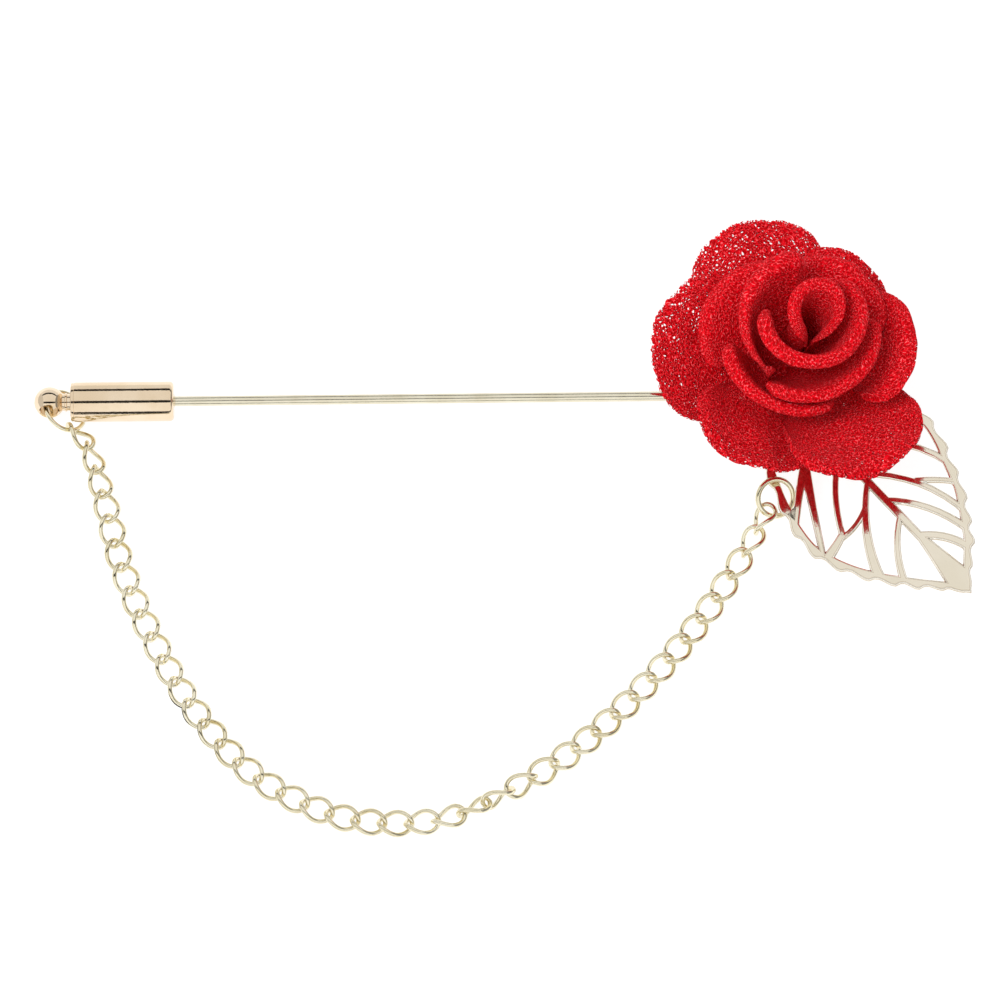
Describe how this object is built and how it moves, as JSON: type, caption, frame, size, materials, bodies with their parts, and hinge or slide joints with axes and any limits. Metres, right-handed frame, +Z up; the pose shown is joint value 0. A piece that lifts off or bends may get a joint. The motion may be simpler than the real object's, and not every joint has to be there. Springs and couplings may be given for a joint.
{
  "type": "flower lapel pin",
  "caption": "Stick pin with a red crepe rose and a pierced gold leaf, a ball-ended clutch on its point and a curb chain from the clutch to the leaf, lying face up.",
  "frame": {"origin": "on the surface that the pin lies on, under the middle of its bounding box", "axes": "+X along the shaft from the clutch to the rose, +Z up out of the rose's face, +Y across the shaft, away from the chain"},
  "size_m": [0.0934, 0.0627, 0.0183],
  "materials": {
    "gold_plate": "polished light gold plate on brass",
    "gold_sheet": "mirror-polished light gold plate on stamped brass sheet",
    "rose_gold_plate": "polished champagne rose gold plate on brass",
    "red_crepe": "open-weave red crepe, stiffened and heat-curled"
  },
  "bodies": {
    "root": {"stick_pin": "gold_plate", "clutch_barrel": "rose_gold_plate", "clutch_ring": "gold_plate", "chain": "gold_plate", "leaf_ring": "gold_plate", "leaf": "gold_sheet", "petal_top": "red_crepe", "petal_left": "red_crepe", "petal_upper_right": "red_crepe", "petal_lower_left": "red_crepe", "petal_lower_right": "red_crepe", "petal_right": "red_crepe", "petal_mid_left": "red_crepe", "petal_fold_front": "red_crepe", "petal_mid_right": "red_crepe", "petal_fold_right": "red_crepe", "petal_wrap_outer": "red_crepe", "petal_wrap_inner": "red_crepe", "bud": "red_crepe"}
  },
  "joints": []
}
